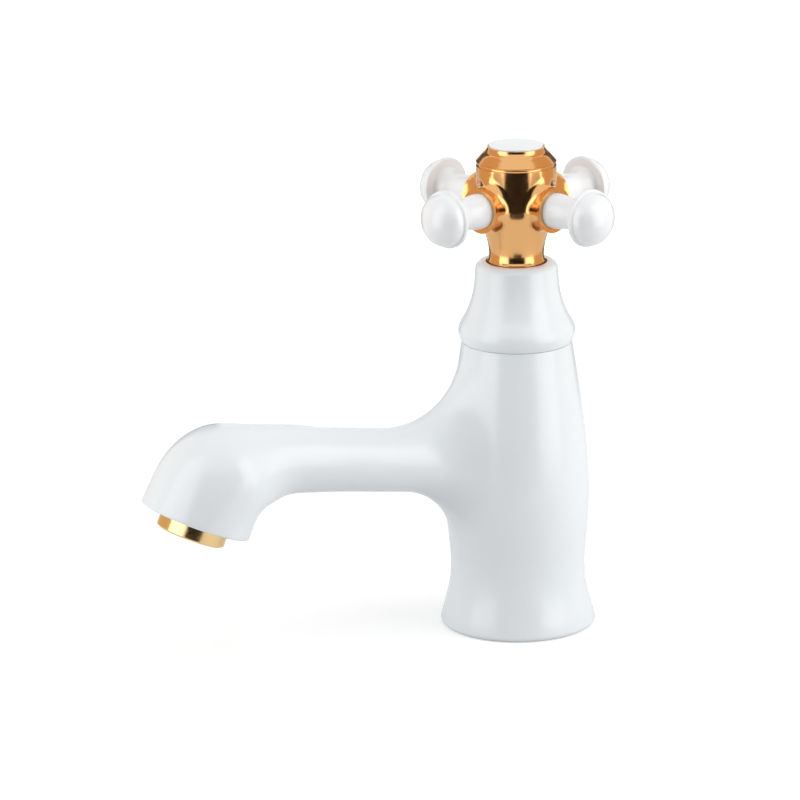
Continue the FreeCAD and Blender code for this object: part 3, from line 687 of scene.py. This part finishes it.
def softbox(name, turn, rise, width, height, power):
    # turn is counted from the camera, in degrees, positive to its right
    data = bpy.data.lights.new(name, "AREA")
    data.shape = "RECTANGLE"
    data.size = width
    data.size_y = height
    data.energy = power
    lamp = bpy.data.objects.new(name, data)
    way = direction(VIEW_AZIMUTH + math.radians(turn), math.radians(rise))
    facing_tap = way.to_track_quat("Z", "Y").to_matrix().to_4x4()
    lamp.matrix_world = Matrix.Translation(AIM + way * LAMP_DISTANCE) @ facing_tap
    lamp.visible_glossy = False
    SCENE.collection.objects.link(lamp)


softbox("softbox_right", turn=78, rise=12, width=1.2, height=1.4, power=11.0)
softbox("softbox_left", turn=-82, rise=12, width=1.2, height=1.4, power=9.0)
softbox("softbox_top", turn=0, rise=80, width=1.0, height=1.0, power=3.0)
print("softboxes:", len(bpy.data.lights))

# %% [markdown]
# Polished metal shows what stands around it, so a plain white room makes it look like
# flat paint. Cards stand round the tap, seen by reflections only: a dark one in front,
# bright ones beside it, warm ones at the sides, and dim ones at the back that draw the
# edges. Each card is a bent strip, made by spinning one upright edge about the
# column's axis.

# %% Standing cards
CARD_RADIUS = 0.34
CARD_STEPS = 16
PALE = (1.0, 0.98, 0.95)
WARM = (1.0, 0.72, 0.45)


def reflected_only(shape, name, brightness, colour):
    mesh = bpy.data.meshes.new(name)
    shape.to_mesh(mesh)
    shape.free()
    material = new_finish(name, (0.01, 0.007, 0.006), 0.9)
    shader_of(material).inputs["Emission Color"].default_value = (*colour, 1.0)
    shader_of(material).inputs["Emission Strength"].default_value = brightness
    mesh.materials.append(material)
    piece = bpy.data.objects.new(name, mesh)
    SCENE.collection.objects.link(piece)
    piece.visible_camera = False
    piece.visible_diffuse = False
    piece.visible_shadow = False
    piece.visible_transmission = False


def card(name, turn, half_angle, top, brightness, colour=PALE):
    # angles in degrees, turn counted from the camera, top in metres above the deck
    strip = bmesh.new()
    start = direction(VIEW_AZIMUTH + math.radians(turn - half_angle), 0) * CARD_RADIUS
    ends = [strip.verts.new(start), strip.verts.new(start + Vector((0, 0, top)))]
    edge = strip.edges.new(ends)
    bmesh.ops.spin(strip, geom=[*ends, edge], cent=(0, 0, 0), axis=(0, 0, 1),
                   dvec=(0, 0, 0), angle=math.radians(2 * half_angle), steps=CARD_STEPS,
                   use_merge=False, use_duplicate=False)
    reflected_only(strip, name, brightness, colour)


card("card_front", 0, 32, 0.27, 0.0)
for side, word in ((-1, "left"), (1, "right")):
    card("card_bright_" + word, side * 56, 18, 0.46, 2.3)
    card("card_warm_" + word, side * 104, 28, 0.75, 0.7, WARM)
    card("card_edge_" + word, side * 150, 12, 0.40, 0.1)
print("standing cards: 7")

# %% [markdown]
# The outlet ring leans, so part of it mirrors the deck in front of the tap. A dark sheet
# lies there, just above the deck and seen by reflections only, and widens the dark band
# on the ring.

# %% Lying card
SHEET_LIFT = 0.001
AHEAD = direction(VIEW_AZIMUTH, 0)


def lying_card(name, across, ahead, half_width, half_depth):
    # across counts to the camera's right, ahead towards the camera, in metres
    sheet = bmesh.new()
    bmesh.ops.create_grid(sheet, x_segments=1, y_segments=1, size=1)
    for corner in sheet.verts:
        sideways = RIGHT * (across + half_width * corner.co.x)
        forwards = AHEAD * (ahead + half_depth * corner.co.y)
        corner.co = sideways + forwards + Vector((0, 0, SHEET_LIFT))
    reflected_only(sheet, name, 0.0, PALE)


lying_card("card_floor", across=0.02, ahead=0.28, half_width=0.08, half_depth=0.05)
print("lying cards: 1")
